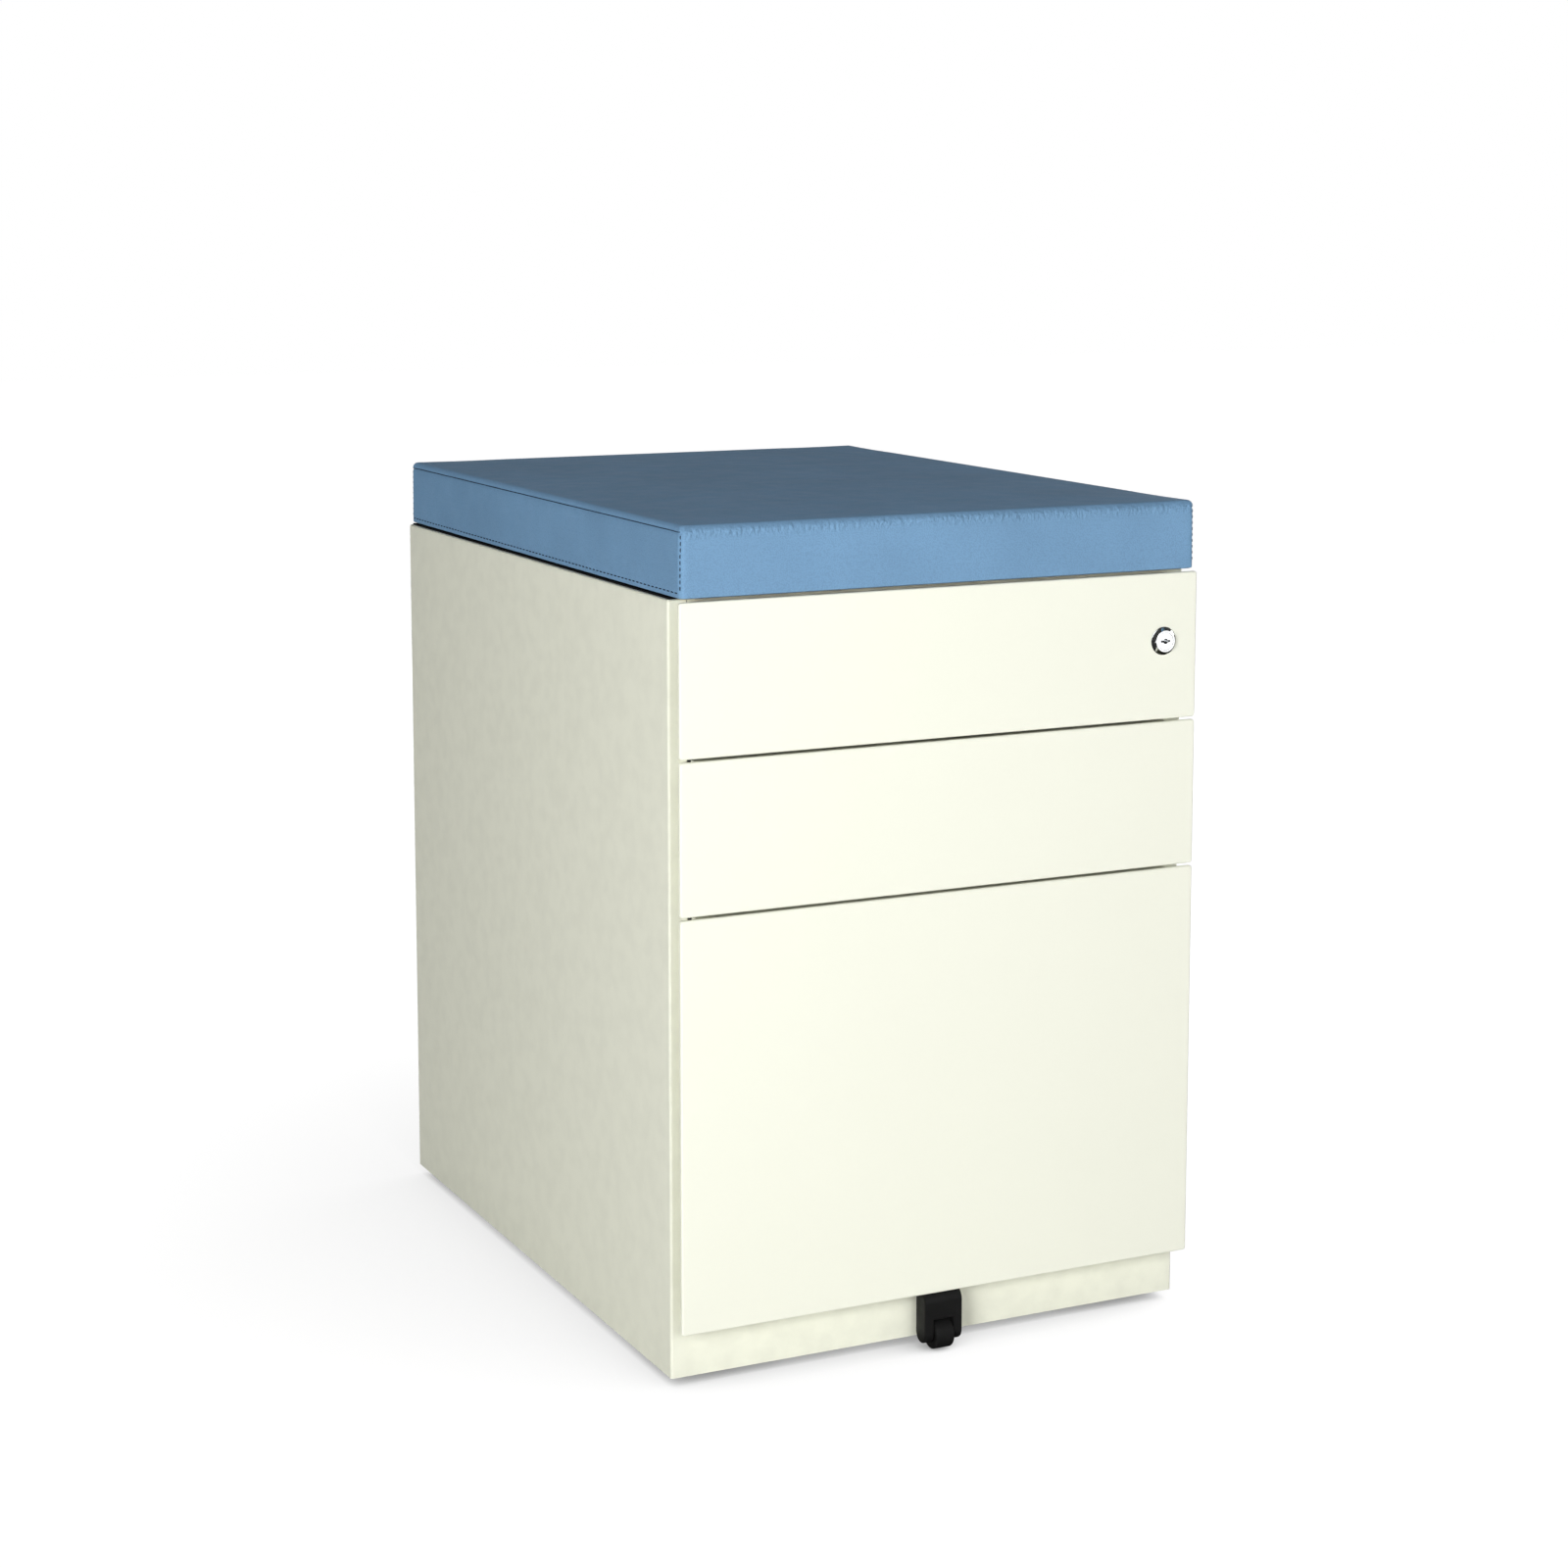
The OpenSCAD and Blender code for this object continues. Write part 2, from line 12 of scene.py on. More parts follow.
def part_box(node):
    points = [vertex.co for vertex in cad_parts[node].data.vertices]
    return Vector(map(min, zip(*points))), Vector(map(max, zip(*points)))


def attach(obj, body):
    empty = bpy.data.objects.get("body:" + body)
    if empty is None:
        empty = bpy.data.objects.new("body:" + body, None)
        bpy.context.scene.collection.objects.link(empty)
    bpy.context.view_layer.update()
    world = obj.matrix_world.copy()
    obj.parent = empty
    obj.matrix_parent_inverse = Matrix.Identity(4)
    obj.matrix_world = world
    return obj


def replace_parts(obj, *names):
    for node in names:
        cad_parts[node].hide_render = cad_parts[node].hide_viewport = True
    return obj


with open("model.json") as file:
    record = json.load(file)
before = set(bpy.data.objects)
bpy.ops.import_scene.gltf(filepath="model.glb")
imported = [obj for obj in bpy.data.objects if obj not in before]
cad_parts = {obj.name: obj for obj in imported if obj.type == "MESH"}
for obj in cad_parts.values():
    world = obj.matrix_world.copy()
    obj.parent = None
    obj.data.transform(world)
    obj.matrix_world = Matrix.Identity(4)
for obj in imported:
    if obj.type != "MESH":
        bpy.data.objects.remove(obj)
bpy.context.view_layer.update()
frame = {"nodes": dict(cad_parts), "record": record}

MM = 0.001
X, Y, Z = Vector((1, 0, 0)), Vector((0, 1, 0)), Vector((0, 0, 1))


# Camera and stage ---------------------------------------------------------------------------

def add_camera():
    """Camera left of the front and a little above the seat, with nearly upright verticals."""
    camera = bpy.data.objects.new("camera", bpy.data.cameras.new("camera"))
    bpy.context.scene.collection.objects.link(camera)
    camera.location = (-1.0485, -2.1848, 0.8442)
    pitch = math.radians(-7.425)
    yaw = math.radians(-25.74)
    camera.rotation_euler = (math.pi / 2 + pitch, 0, yaw)
    camera.data.lens = 70.5
    camera.data.shift_y = -0.12
    camera.data.clip_end = 50
    bpy.context.scene.camera = camera


def add_area_light(name, shape, place, aim, width, height, power):
    light = bpy.data.lights.new(name, "AREA")
    light.shape = shape
    light.size, light.size_y = width, height
    light.energy = power
    lamp = bpy.data.objects.new(name, light)
    bpy.context.scene.collection.objects.link(lamp)
    lamp.location = place
    lamp.rotation_euler = (Vector(aim) - Vector(place)).to_track_quat("-Z", "Y").to_euler()
    lamp.visible_camera = False


def add_softboxes():
    for name, place, width, power in (("key", (0.1, -3.1, 1.24), 1.8, 31.5),
                                      ("left_fill", (-2.2, -2.1, 0.95), 1.2, 61),
                                      ("right_fill", (2.4, 1.7, 0.75), 1.4, 26),
                                      ("back_fill", (0.9, 3.2, 0.75), 1.8, 30),
                                      ("top_fill", (0, 0.1, 3.2), 0.8, 9)):
        add_area_light(name, "DISK", place, (0, 0, 0.3), width, width, power)
    for name in ("left_fill", "back_fill", "top_fill"):
        bpy.data.objects[name].visible_glossy = False


def add_reflectors():
    """Dim white cards that the lock's chrome mirrors, as in a product studio."""
    low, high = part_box("lock_plug")
    lock = Vector(((low.x + high.x) / 2, low.y, (low.z + high.z) / 2))
    glow = 1.35
    for name, direction, width, height in (("face_card", (0.535, -0.833, -0.14), 0.8, 0.7),
                                           ("left_card", (-0.99, -0.02, -0.14), 0.4, 0.9)):
        power = glow * math.pi * width * height
        add_area_light(name, "RECTANGLE", lock + Vector(direction) * 2.1, lock, width, height, power)


def add_world():
    """White to the camera and nearly black to mirrors; as a light it is dark near the horizon
    and soft overhead."""
    world = bpy.data.worlds.new("studio")
    bpy.context.scene.world = world
    world.use_nodes = True
    tree = world.node_tree
    tree.nodes.clear()
    direction = tree.nodes.new("ShaderNodeTexCoord").outputs["Generated"]
    split = tree.nodes.new("ShaderNodeSeparateXYZ")
    tree.links.new(direction, split.inputs[0])
    height = tree.nodes.new("ShaderNodeMapRange")
    height.interpolation_type = "SMOOTHSTEP"
    tree.links.new(split.outputs["Z"], height.inputs["Value"])
    for socket, value in (("From Min", 0.15), ("From Max", 0.75), ("To Min", 0.01), ("To Max", 0.07)):
        height.inputs[socket].default_value = value
    path = tree.nodes.new("ShaderNodeLightPath")
    strength = height.outputs["Result"]
    for kind, level in (("Is Glossy Ray", 0.05), ("Is Camera Ray", 1.0)):
        choice = tree.nodes.new("ShaderNodeMix")
        tree.links.new(path.outputs[kind], choice.inputs["Factor"])
        tree.links.new(strength, choice.inputs["A"])
        choice.inputs["B"].default_value = level
        strength = choice.outputs["Result"]
    background = tree.nodes.new("ShaderNodeBackground")
    background.inputs["Color"].default_value = (1, 1, 1, 1)
    tree.links.new(strength, background.inputs["Strength"])
    output = tree.nodes.new("ShaderNodeOutputWorld")
    tree.links.new(background.outputs[0], output.inputs["Surface"])


def add_floor():
    """Plain white floor. The camera sees it glow, with a painted shadow in that glow close to what
    stands on it: a soft contact shadow inside a wide, faint one, both from ambient occlusion and not
    from the lamps;
    as a light it only returns what falls on it, and mirrors see it dark. The wide painted shadow
    samples towards the key light."""
    half = 12
    mesh = bpy.data.meshes.new("floor")
    corners = [(-half, -half, 0), (half, -half, 0), (half, half, 0), (-half, half, 0)]
    mesh.from_pydata(corners, [], [(0, 1, 2, 3)])
    floor = bpy.data.objects.new("floor", mesh)
    bpy.context.scene.collection.objects.link(floor)
    s = Shader("floor_white", Base_Color=(0.8, 0.8, 0.8, 1), Roughness=0.9, Specular_IOR_Level=0.1)
    s.surface.inputs["Emission Color"].default_value = (1, 1, 1, 1)
    glow = 1.0
    # Painted shadow: ambient occlusion dims the floor's camera-only glow near the object, as a tight
    # contact shadow and a wide faint one.
    for reach, towards, power, depth in ((0.1, (0, 0, 1), 3.7, 0.72),
                                         (0.5, (0.28, -0.72, 0.63), 1.3, 0.4)):
        nearby = s.add("ShaderNodeAmbientOcclusion", samples=24)
        nearby.inputs["Distance"].default_value = reach
        facing = s.add("ShaderNodeCombineXYZ")
        for socket, part in zip(facing.inputs, towards):
            socket.default_value = part
        s.feed(nearby.inputs["Normal"], facing.outputs[0])
        shut_in = s.maths("SUBTRACT", 1.0, nearby.outputs["AO"])
        painted_shadow = s.maths("MULTIPLY", s.maths("POWER", shut_in, power), depth)
        glow = s.maths("SUBTRACT", glow, painted_shadow)
    glow = s.maths("MAXIMUM", glow, 0.2)
    path = s.add("ShaderNodeLightPath").outputs
    s.feed(s.surface.inputs["Emission Strength"], s.maths("MULTIPLY", glow, path["Is Camera Ray"]))
    base = (0.8, 0.8, 0.8, 1)
    for kind, grey in (("Is Glossy Ray", 0.04), ("Is Camera Ray", 0.08)):
        base = s.mixed(path[kind], base, (grey, grey, grey, 1))
    s.feed(s.surface.inputs["Base Color"], base)
    mesh.materials.append(s.material)


def light_scene():
    add_world()
    add_softboxes()
    add_reflectors()
    add_floor()
    settings = bpy.context.scene.view_settings
    settings.view_transform = "Standard"
    settings.look = "None"


# Materials ----------------------------------------------------------------------------------

def colour(text):
    """A hex sRGB colour as linear RGBA."""
    parts = [int(text[i:i + 2], 16) / 255 for i in (1, 3, 5)]
    return tuple(c / 12.92 if c <= 0.04045 else ((c + 0.055) / 1.055) ** 2.4 for c in parts) + (1,)


def shade(rgba, factor):
    return tuple(min(1, c * factor) for c in rgba[:3]) + (1,)


class Shader:
    """A material made of nodes. Its pattern coordinates are the row frame's, in metres."""

    def __init__(self, name, **sockets):
        self.material = bpy.data.materials.new(name)
        self.material.use_nodes = True
        self.tree = self.material.node_tree
        self.surface = self.tree.nodes["Principled BSDF"]
        self.place = self.add("ShaderNodeTexCoord").outputs["Object"]
        for socket, value in sockets.items():
            self.surface.inputs[socket.replace("_", " ")].default_value = value

    def add(self, kind, **settings):
        node = self.tree.nodes.new(kind)
        for name, value in settings.items():
            setattr(node, name, value)
        return node

    def feed(self, socket, value):
        if isinstance(value, bpy.types.NodeSocket):
            self.tree.links.new(value, socket)
        else:
            socket.default_value = value

    def stretched(self, scale):
        """The pattern coordinates times a scale for each axis."""
        mapping = self.add("ShaderNodeMapping")
        self.feed(mapping.inputs["Vector"], self.place)
        mapping.inputs["Scale"].default_value = scale
        return mapping.outputs[0]

    def noise(self, scale, detail=2.0, place=None):
        node = self.add("ShaderNodeTexNoise")
        self.feed(node.inputs["Vector"], place or self.place)
        node.inputs["Scale"].default_value = scale
        node.inputs["Detail"].default_value = detail
        return node.outputs["Fac"]

    def cells(self, scale, output="Distance", feature="F1", place=None):
        node = self.add("ShaderNodeTexVoronoi", feature=feature)
        self.feed(node.inputs["Vector"], place or self.place)
        node.inputs["Scale"].default_value = scale
        return node.outputs[output]

    def spread(self, value, low, high, to_low=0.0, to_high=1.0):
        """Maps value from low..high to to_low..to_high, clamped."""
        node = self.add("ShaderNodeMapRange")
        inputs = (value, low, high, to_low, to_high)
        for socket, item in zip(("Value", "From Min", "From Max", "To Min", "To Max"), inputs):
            self.feed(node.inputs[socket], item)
        return node.outputs["Result"]

    def maths(self, operation, a, b):
        node = self.add("ShaderNodeMath", operation=operation)
        self.feed(node.inputs[0], a)
        self.feed(node.inputs[1], b)
        return node.outputs[0]

    def mixed(self, factor, a, b):
        node = self.add("ShaderNodeMix", data_type="RGBA")
        self.feed(node.inputs["Factor"], factor)
        self.feed(node.inputs["A"], a)
        self.feed(node.inputs["B"], b)
        return node.outputs["Result"]

    def marked(self, name):
        """A value painted on the mesh's points; 0 where the mesh has none."""
        return self.add("ShaderNodeAttribute", attribute_name=name).outputs["Fac"]

    def worn(self, scale, amount):
        """Broken-up wear on outer edges, from 0 to amount."""
        edge = self.spread(self.add("ShaderNodeNewGeometry").outputs["Pointiness"], 0.53, 0.62)
        patches = self.spread(self.noise(scale, 3), 0.38, 0.68, 0.0, amount)
        return self.maths("MULTIPLY", edge, patches)

    def bump(self, height, distance, strength=1.0, under=None):
        node = self.add("ShaderNodeBump")
        self.feed(node.inputs["Height"], height)
        node.inputs["Distance"].default_value = distance
        node.inputs["Strength"].default_value = strength
        if under is not None:
            self.feed(node.inputs["Normal"], under)
        return node.outputs["Normal"]

    def finish(self, base, roughness, normal):
        self.feed(self.surface.inputs["Base Color"], base)
        self.feed(self.surface.inputs["Roughness"], roughness)
        self.feed(self.surface.inputs["Normal"], normal)
        return self.material


def powder_coat(name, base):
    """Powder coat with faint orange peel and speckle, and a slightly thinner coat on the edges."""
    s = Shader(name)
    cloudy = s.spread(s.noise(9, 3), 0.3, 0.7)
    tone = s.mixed(cloudy, shade(base, 0.996), shade(base, 1.002))
    speckle = s.spread(s.noise(900, 2), 0.35, 0.65, 0.0, 0.5)
    tone = s.mixed(speckle, tone, shade(base, 0.985))
    tone = s.mixed(s.worn(70, 0.5), tone, shade(base, 0.86))
    roughness = s.spread(s.noise(35, 3), 0.3, 0.7, 0.465, 0.475)
    return s.finish(tone, roughness, s.bump(s.noise(600, 1), 0.00004, 0.15))


def vinyl(name, base):
    """Upholstery vinyl: pebbled grain, pores, faint pull lines and puckers where it is marked."""
    s = Shader(name, Specular_IOR_Level=0.16, Sheen_Weight=0.02, Sheen_Roughness=0.4)
    patchy = s.spread(s.noise(14, 4), 0.3, 0.7)
    tone = s.mixed(patchy, shade(base, 0.93), shade(base, 1.05))
    pores = s.spread(s.cells(950), 0.35, 0.75)
    tone = s.mixed(s.maths("MULTIPLY", pores, 0.35), tone, shade(base, 0.7))
    tone = s.mixed(s.worn(50, 0.4), tone, shade(base, 1.18))
    roughness = s.spread(s.noise(60, 3), 0.3, 0.7, 0.5, 0.64)
    lines = s.noise(1, 2, s.stretched((25, 25, 420)))
    puckers = s.maths("MULTIPLY", s.marked("pucker"), s.noise(1, 3, s.stretched((330, 330, 190))))
    grain = s.bump(s.cells(950), 0.00016, 0.55)
    grain = s.bump(s.noise(240, 3), 0.0003, 0.35, grain)
    grain = s.bump(lines, 0.0003, 0.45, grain)
    grain = s.bump(puckers, 0.0026, 1.0, grain)
    return s.finish(tone, roughness, grain)


def chrome(name):
    """Polished chrome with hairline rubbing."""
    s = Shader(name, Metallic=1.0)
    tone = s.mixed(s.spread(s.noise(300, 2), 0.3, 0.7), colour("#E9EBED"), colour("#F7F8F8"))
    roughness = s.spread(s.noise(420, 3), 0.3, 0.75, 0.03, 0.11)
    return s.finish(tone, roughness, s.bump(s.noise(900, 2), 0.00002, 0.3))


def zinc(name, base, rough):
    """Zinc-plated steel with soft spangle, rolling lines and duller, rubbed edges."""
    s = Shader(name, Metallic=0.4)
    spangle = s.cells(160, "Color")
    tone = s.mixed(s.spread(spangle, 0.0, 1.0, 0.0, 1.0), shade(base, 0.9), shade(base, 1.08))
    streaks = s.noise(1, 3, s.stretched((900, 14, 900)))
    tone = s.mixed(s.spread(streaks, 0.35, 0.7, 0.0, 0.4), tone, shade(base, 0.82))
    tone = s.mixed(s.worn(120, 0.6), tone, shade(base, 1.15))
    roughness = s.spread(s.noise(55, 4), 0.3, 0.7, rough, rough + 0.14)
    return s.finish(tone, roughness, s.bump(streaks, 0.00006, 0.5))


def moulded(name, base, grain_scale, rough):
    """Moulded plastic or rubber: fine spark texture, dust and lighter, rubbed edges."""
    s = Shader(name, Specular_IOR_Level=0.25)
    dust = s.spread(s.noise(40, 4), 0.45, 0.8, 0.0, 0.3)
    tone = s.mixed(dust, base, shade(base, 1.5))
    tone = s.mixed(s.worn(160, 0.5), tone, shade(base, 2.2))
    roughness = s.spread(s.noise(90, 3), 0.3, 0.7, rough, rough + 0.15)
    return s.finish(tone, roughness, s.bump(s.cells(grain_scale), 0.00012, 0.5))


def plywood(name):
    """Birch plywood: stretched grain over thin layers."""
    s = Shader(name)
    grain = s.noise(1, 4, s.stretched((160, 9, 160)))
    tone = s.mixed(s.spread(grain, 0.3, 0.7), colour("#B98F5C"), colour("#D8B27C"))
    layers = s.spread(s.noise(1, 0, s.stretched((1, 1, 600))), 0.45, 0.55)
    tone = s.mixed(s.maths("MULTIPLY", layers, 0.4), tone, colour("#8F6A3F"))
    return s.finish(tone, s.spread(grain, 0.3, 0.7, 0.6, 0.75), s.bump(grain, 0.0003, 0.5))


def thread(name, base):
    """Twisted sewing thread."""
    s = Shader(name)
    twist = s.noise(1, 2, s.stretched((2500, 2500, 2500)))
    tone = s.mixed(s.spread(twist, 0.35, 0.65), shade(base, 0.7), shade(base, 1.4))
    return s.finish(tone, s.spread(twist, 0.3, 0.7, 0.6, 0.75), s.bump(twist, 0.0002, 0.6))


def make_materials():
    return {
        "case_paint": powder_coat("ivory_powder_coat", colour("#F4F5E4")),
        "front_paint": powder_coat("ivory_front_powder_coat", colour("#F6F7E8")),
        "zinc_steel": zinc("zinc_plate", colour("#B9BDC0"), 0.34),
        "bright_steel": zinc("bright_steel", colour("#CDD0D2"), 0.2),
        "chrome": chrome("lock_chrome"),
        "black_plastic": moulded("black_moulding", colour("#161616"), 1300, 0.5),
        "castor_tread": moulded("castor_tread", colour("#171717"), 700, 0.55),
        "seat_vinyl": vinyl("blue_vinyl", colour("#779EC1")),
        "seat_board": plywood("pad_plywood"),
        "grip_mat": moulded("grip_mat", colour("#161616"), 350, 0.7),
        "thread": thread("seat_thread", colour("#0F1A2C")),
    }


# Mesh helpers -------------------------------------------------------------------------------

def link_mesh(name, mesh, material, body):
    """A new piece from a mesh, smooth shaded, riding on its CAD body."""
    piece = bpy.data.objects.new(name, mesh)
    bpy.context.scene.collection.objects.link(piece)
    mesh.materials.append(MATERIALS[material])
    mesh.shade_smooth()
    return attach(piece, body)


def from_bmesh(name, bm, material, body):
    bmesh.ops.recalc_face_normals(bm, faces=bm.faces)
    mesh = bpy.data.meshes.new(name)
    bm.to_mesh(mesh)
    bm.free()
    return link_mesh(name, mesh, material, body)


def ease_edges(piece, width, segments=2, angle=40):
    """Rounds the piece's sharp edges and keeps its flats flat."""
    bevel = piece.modifiers.new("eased_edges", "BEVEL")
    bevel.width = width
    bevel.segments = segments
    bevel.limit_method = "ANGLE"
    bevel.angle_limit = math.radians(angle)
    bevel.harden_normals = True
    return piece


def keep_flats(piece):
    normals = piece.modifiers.new("flat_normals", "WEIGHTED_NORMAL")
    normals.keep_sharp = True
    normals.weight = 100
    return piece


def bake_modifiers(piece):
    """Replaces the piece's mesh with its evaluated one and drops the modifiers."""
    depsgraph = bpy.context.evaluated_depsgraph_get()
    mesh = bpy.data.meshes.new_from_object(piece.evaluated_get(depsgraph))
    piece.modifiers.clear()
    piece.data = mesh
    return piece


def cut_away(piece, cutter_bm):
    """Subtracts a closed shape from the piece."""
    mesh = bpy.data.meshes.new("cutter")
    bmesh.ops.recalc_face_normals(cutter_bm, faces=cutter_bm.faces)
    cutter_bm.to_mesh(mesh)
    cutter_bm.free()
    cutter = bpy.data.objects.new("cutter", mesh)
    bpy.context.scene.collection.objects.link(cutter)
    boolean = piece.modifiers.new("cut", "BOOLEAN")
    boolean.operation = "DIFFERENCE"
    boolean.solver = "EXACT"
    boolean.object = cutter
    bake_modifiers(piece)
    bpy.data.objects.remove(cutter)
    return piece


def add_block(bm, low, high):
    """Adds a box between two corners and returns its vertices."""
    made = bmesh.ops.create_cube(bm, size=1)["verts"]
    low, high = Vector(low), Vector(high)
    for v in made:
        v.co = Vector(low[i] + (v.co[i] + 0.5) * (high[i] - low[i]) for i in range(3))
    return made


def ring(centre, across, up, radius, steps):
    return [centre + (across * math.cos(a) + up * math.sin(a)) * radius
            for a in (2 * math.pi * n / steps for n in range(steps))]


def add_rod(bm, start, end, radius, steps=48):
    """Adds a closed cylinder between two points."""
    along = (end - start).normalized()
    across = along.orthogonal().normalized()
    up = along.cross(across)
    loops = [[bm.verts.new(p) for p in ring(c, across, up, radius, steps)] for c in (start, end)]
    for n in range(steps):
        m = (n + 1) % steps
        bm.faces.new((loops[0][n], loops[0][m], loops[1][m], loops[1][n]))
    bm.faces.new(loops[0][::-1])
    bm.faces.new(loops[1])


def add_lathe(bm, centre, axis, profile, steps=96):
    """Turns a profile of (radius, distance along axis) round the axis, closed at radius 0."""
    across = axis.orthogonal().normalized()
    up = axis.cross(across)
    loops = []
    for radius, along in profile:
        c = centre + axis * along
        if radius < 1e-7:
            loops.append([bm.verts.new(c)])
        else:
            loops.append([bm.verts.new(p) for p in ring(c, across, up, radius, steps)])
    for a, b in zip(loops, loops[1:]):
        for n in range(steps):
            m = (n + 1) % steps
            corners = [a[n % len(a)], a[m % len(a)], b[m % len(b)], b[n % len(b)]]
            bm.faces.new(list(dict.fromkeys(corners)))


def arc(centre, radius, start, end, steps):
    """Points of a plane arc, angles in degrees."""
    return [(centre[0] + radius * math.cos(math.radians(start + (end - start) * n / steps)),
             centre[1] + radius * math.sin(math.radians(start + (end - start) * n / steps)))
            for n in range(steps + 1)]


def folded(points, radius, steps=5):
    """A plane path with each inner corner turned into an arc of that radius."""
    path = [Vector(points[0])]
    for before, corner, after in zip(points, points[1:], points[2:]):
        before, corner, after = Vector(before), Vector(corner), Vector(after)
        to_before = (before - corner).normalized()
        to_after = (after - corner).normalized()
        half = math.acos(max(-1, min(1, to_before.dot(to_after)))) / 2
        reach = radius / math.tan(half)
        middle = corner + (to_before + to_after).normalized() * (radius / math.sin(half))
        first = corner + to_before * reach - middle
        last = corner + to_after * reach - middle
        turn = first.angle_signed(last)
        for n in range(steps + 1):
            path.append(middle + Matrix.Rotation(-turn * n / steps, 2) @ first)
    path.append(Vector(points[-1]))
    return path


def sheet_outline(path, thickness):
    """The closed outline of a sheet whose middle follows a plane path."""
    normals = []
    for n in range(len(path)):
        along = (path[min(n + 1, len(path) - 1)] - path[max(n - 1, 0)]).normalized()
        normals.append(Vector((-along.y, along.x)))
    left = [p + n * thickness / 2 for p, n in zip(path, normals)]
    right = [p - n * thickness / 2 for p, n in zip(path, normals)]
    return left + right[::-1]


def add_extrusion(bm, outline, place, low, high):
    """Extrudes a plane outline between low and high; place(u, v, w) gives the point in space.
    The outline is a sheet's: point n faces point -1 - n across the sheet."""
    loops = [[bm.verts.new(place(p[0], p[1], w)) for p in outline] for w in (low, high)]
    count = len(outline)
    for n in range(count):
        m = (n + 1) % count
        bm.faces.new((loops[0][n], loops[0][m], loops[1][m], loops[1][n]))
    for n in range(count // 2 - 1):
        for loop in loops:
            bm.faces.new((loop[n], loop[n + 1], loop[count - 2 - n], loop[count - 1 - n]))


def rounded_loop(half_w, half_h, radius, steps=6):
    """Rectangle with round corners about the origin, as plane points."""
    loop = []
    for side_x, side_y, start in ((1, 1, 0), (-1, 1, 90), (-1, -1, 180), (1, -1, 270)):
        centre = (side_x * (half_w - radius), side_y * (half_h - radius))
        loop += arc(centre, radius, start, start + 90, steps)
    return loop


def add_stack(bm, loops):
    """Joins closed loops of equal count into a skin, and caps both ends."""
    rows = [[bm.verts.new(p) for p in loop] for loop in loops]
    for a, b in zip(rows, rows[1:]):
        for n in range(len(a)):
            m = (n + 1) % len(a)
            bm.faces.new((a[n], a[m], b[m], b[n]))
    bm.faces.new(rows[0][::-1])
    bm.faces.new(rows[-1])


MATERIALS = make_materials()


# Places, from the CAD frame -----------------------------------------------------------------

SHEET = 1 * MM
wall_low, wall_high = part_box("right_side_panel")
top_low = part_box("top_panel")[0]
HALF_W = wall_high.x
STILE_X = wall_low.x
FRONT_Y, BACK_Y = wall_low.y, wall_high.y
SKIRT_Z, TOP_Z = wall_low.z, wall_high.z
FACE_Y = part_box("upper_front")[0].y
PLINTH_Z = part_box("front_plinth")[1].z


# Case ---------------------------------------------------------------------------------------

def add_side(side, name, node):
    """Folded side of the case: front flange with its lip, wall, and the flange under it. Below
    the drawers the flange has no lip, and runs on flush into the plinth."""
    lip, skirt, fold, middle = 6 * MM, 12 * MM, 1.4 * MM, SHEET / 2
    wall = [(HALF_W - middle, FRONT_Y + middle), (HALF_W - middle, BACK_Y)]
    with_lip = [(STILE_X + middle, FRONT_Y + lip), (STILE_X + middle, FRONT_Y + middle)]
    bm = bmesh.new()
    for start, low, high in (([(STILE_X, FRONT_Y + middle)], SKIRT_Z, PLINTH_Z),
                             (with_lip, PLINTH_Z, TOP_Z - SHEET)):
        add_extrusion(bm, sheet_outline(folded(start + wall, fold), SHEET),
                      lambda u, v, w: Vector((side * u, v, w)), low, high)
    xs = sorted((side * (HALF_W - skirt), side * (HALF_W - SHEET)))
    add_block(bm, (xs[0], FRONT_Y + 2 * SHEET, SKIRT_Z), (xs[1], BACK_Y - SHEET, SKIRT_Z + SHEET))
    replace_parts(keep_flats(from_bmesh(name, bm, "case_paint", "case")), node)


def add_plinth():
    """Plate under the drawers, flush with the side flanges, with a flange along its foot."""
    low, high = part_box("front_plinth")
    bm = bmesh.new()
    add_block(bm, (low.x, low.y, low.z), (high.x, low.y + SHEET, high.z))
    add_block(bm, (low.x, low.y + SHEET, low.z), (high.x, high.y, low.z + SHEET))
    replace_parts(keep_flats(from_bmesh("plinth_sheet", bm, "case_paint", "case")), "front_plinth")


def add_top():
    """Top of the case, with the rail folded down behind the upper front."""
    bm = bmesh.new()
    half_d, middle_y = (BACK_Y - FRONT_Y) / 2, (BACK_Y + FRONT_Y) / 2
    edge = 0.45 * MM
    levels = [(edge, TOP_Z - SHEET), (0, TOP_Z - SHEET + edge), (0, TOP_Z - edge), (edge, TOP_Z)]
    add_stack(bm, [[Vector((x, middle_y + y, z)) for x, y in
                    rounded_loop(HALF_W - inset, half_d - inset, 2 * MM - inset)]
                   for inset, z in levels])
    rail_y, rail_z = FRONT_Y + SHEET / 2, top_low.z + SHEET / 2
    rail = folded([(FRONT_Y + 6 * MM, rail_z), (rail_y, rail_z), (rail_y, TOP_Z - SHEET)], 1.4 * MM)
    add_extrusion(bm, sheet_outline(rail, SHEET), lambda u, v, w: Vector((w, u, v)),
                  -STILE_X, STILE_X)
    piece = from_bmesh("top_sheet", bm, "case_paint", "case")
    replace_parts(keep_flats(piece), "top_panel")


# Drawers ------------------------------------------------------------------------------------

